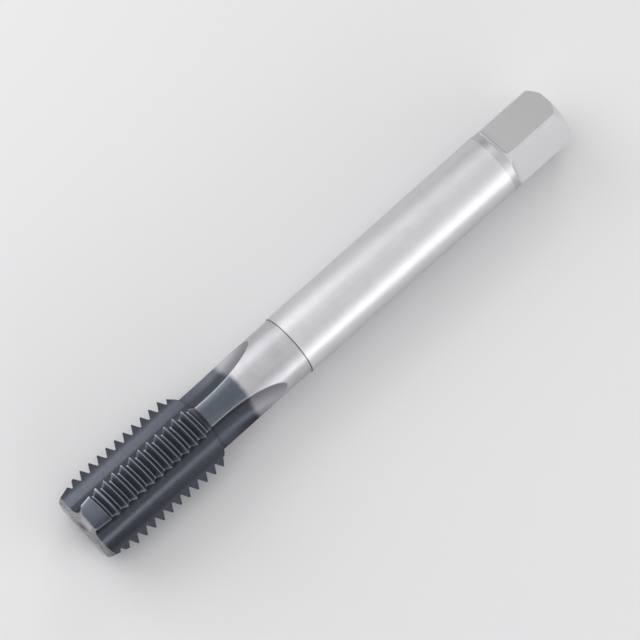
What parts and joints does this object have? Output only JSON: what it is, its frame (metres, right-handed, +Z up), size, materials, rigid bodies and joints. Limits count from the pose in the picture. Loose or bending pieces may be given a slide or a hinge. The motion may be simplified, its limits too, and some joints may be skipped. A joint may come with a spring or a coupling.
{
  "type": "spiral point tap",
  "caption": "Machine tap with straight flutes, a tapered lead ground to a spiral point, a slim neck, a round shank and a square drive end.",
  "frame": {"origin": "middle of the underside of the bounding box, below the tap's middle, on the surface that it lies on", "axes": "+X along the tap's axis from the cutting end to the square end, +Z up"},
  "size_m": [0.11, 0.016, 0.0146],
  "materials": {
    "tap": "ground bare shank and square; the thread, flutes and the front of the neck carry a dark blue-grey oxide-like coating"
  },
  "bodies": {
    "root": {"tap": "tap"}
  },
  "joints": []
}
